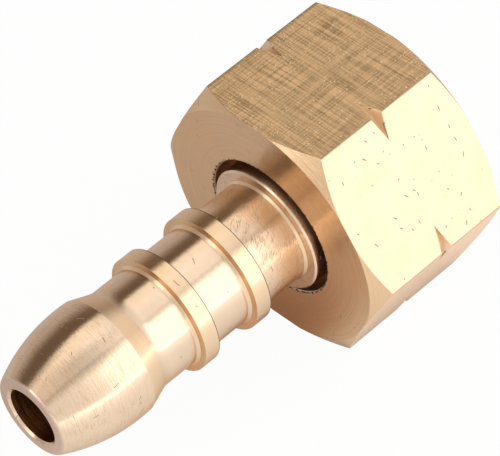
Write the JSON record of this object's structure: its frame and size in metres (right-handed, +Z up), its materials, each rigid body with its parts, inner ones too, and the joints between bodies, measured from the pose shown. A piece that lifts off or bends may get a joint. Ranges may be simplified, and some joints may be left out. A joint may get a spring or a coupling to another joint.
{
  "type": "gas hose connector",
  "caption": "Brass left-hand union nut that swivels on a ribbed, bullet-nosed hose tail, for joining a small-bore fuel gas hose to a regulator.",
  "frame": {"origin": "on the common axis, in the plane of the nut's inner shoulder, where the tail's flange bears", "axes": "+X along the axis, out of the nut's threaded mouth; the hose tail's nose points to -X; +Z up, square to the nut's two level flats; the connector lies on the lower flat"},
  "size_m": [0.0346, 0.022, 0.019],
  "materials": {
    "tail_brass": "bright turned brass",
    "nut_brass": "drawn and turned brass, lightly scratched"
  },
  "bodies": {
    "hose_tail": {"hose_tail": "tail_brass"},
    "union_nut": {"union_nut": "nut_brass"}
  },
  "joints": [
    {"name": "nut_spin", "type": "hinge", "parent": "hose_tail", "child": "union_nut", "pos_m": [0, 0, 0], "axis": [1, 0, 0], "continuous": true}
  ]
}
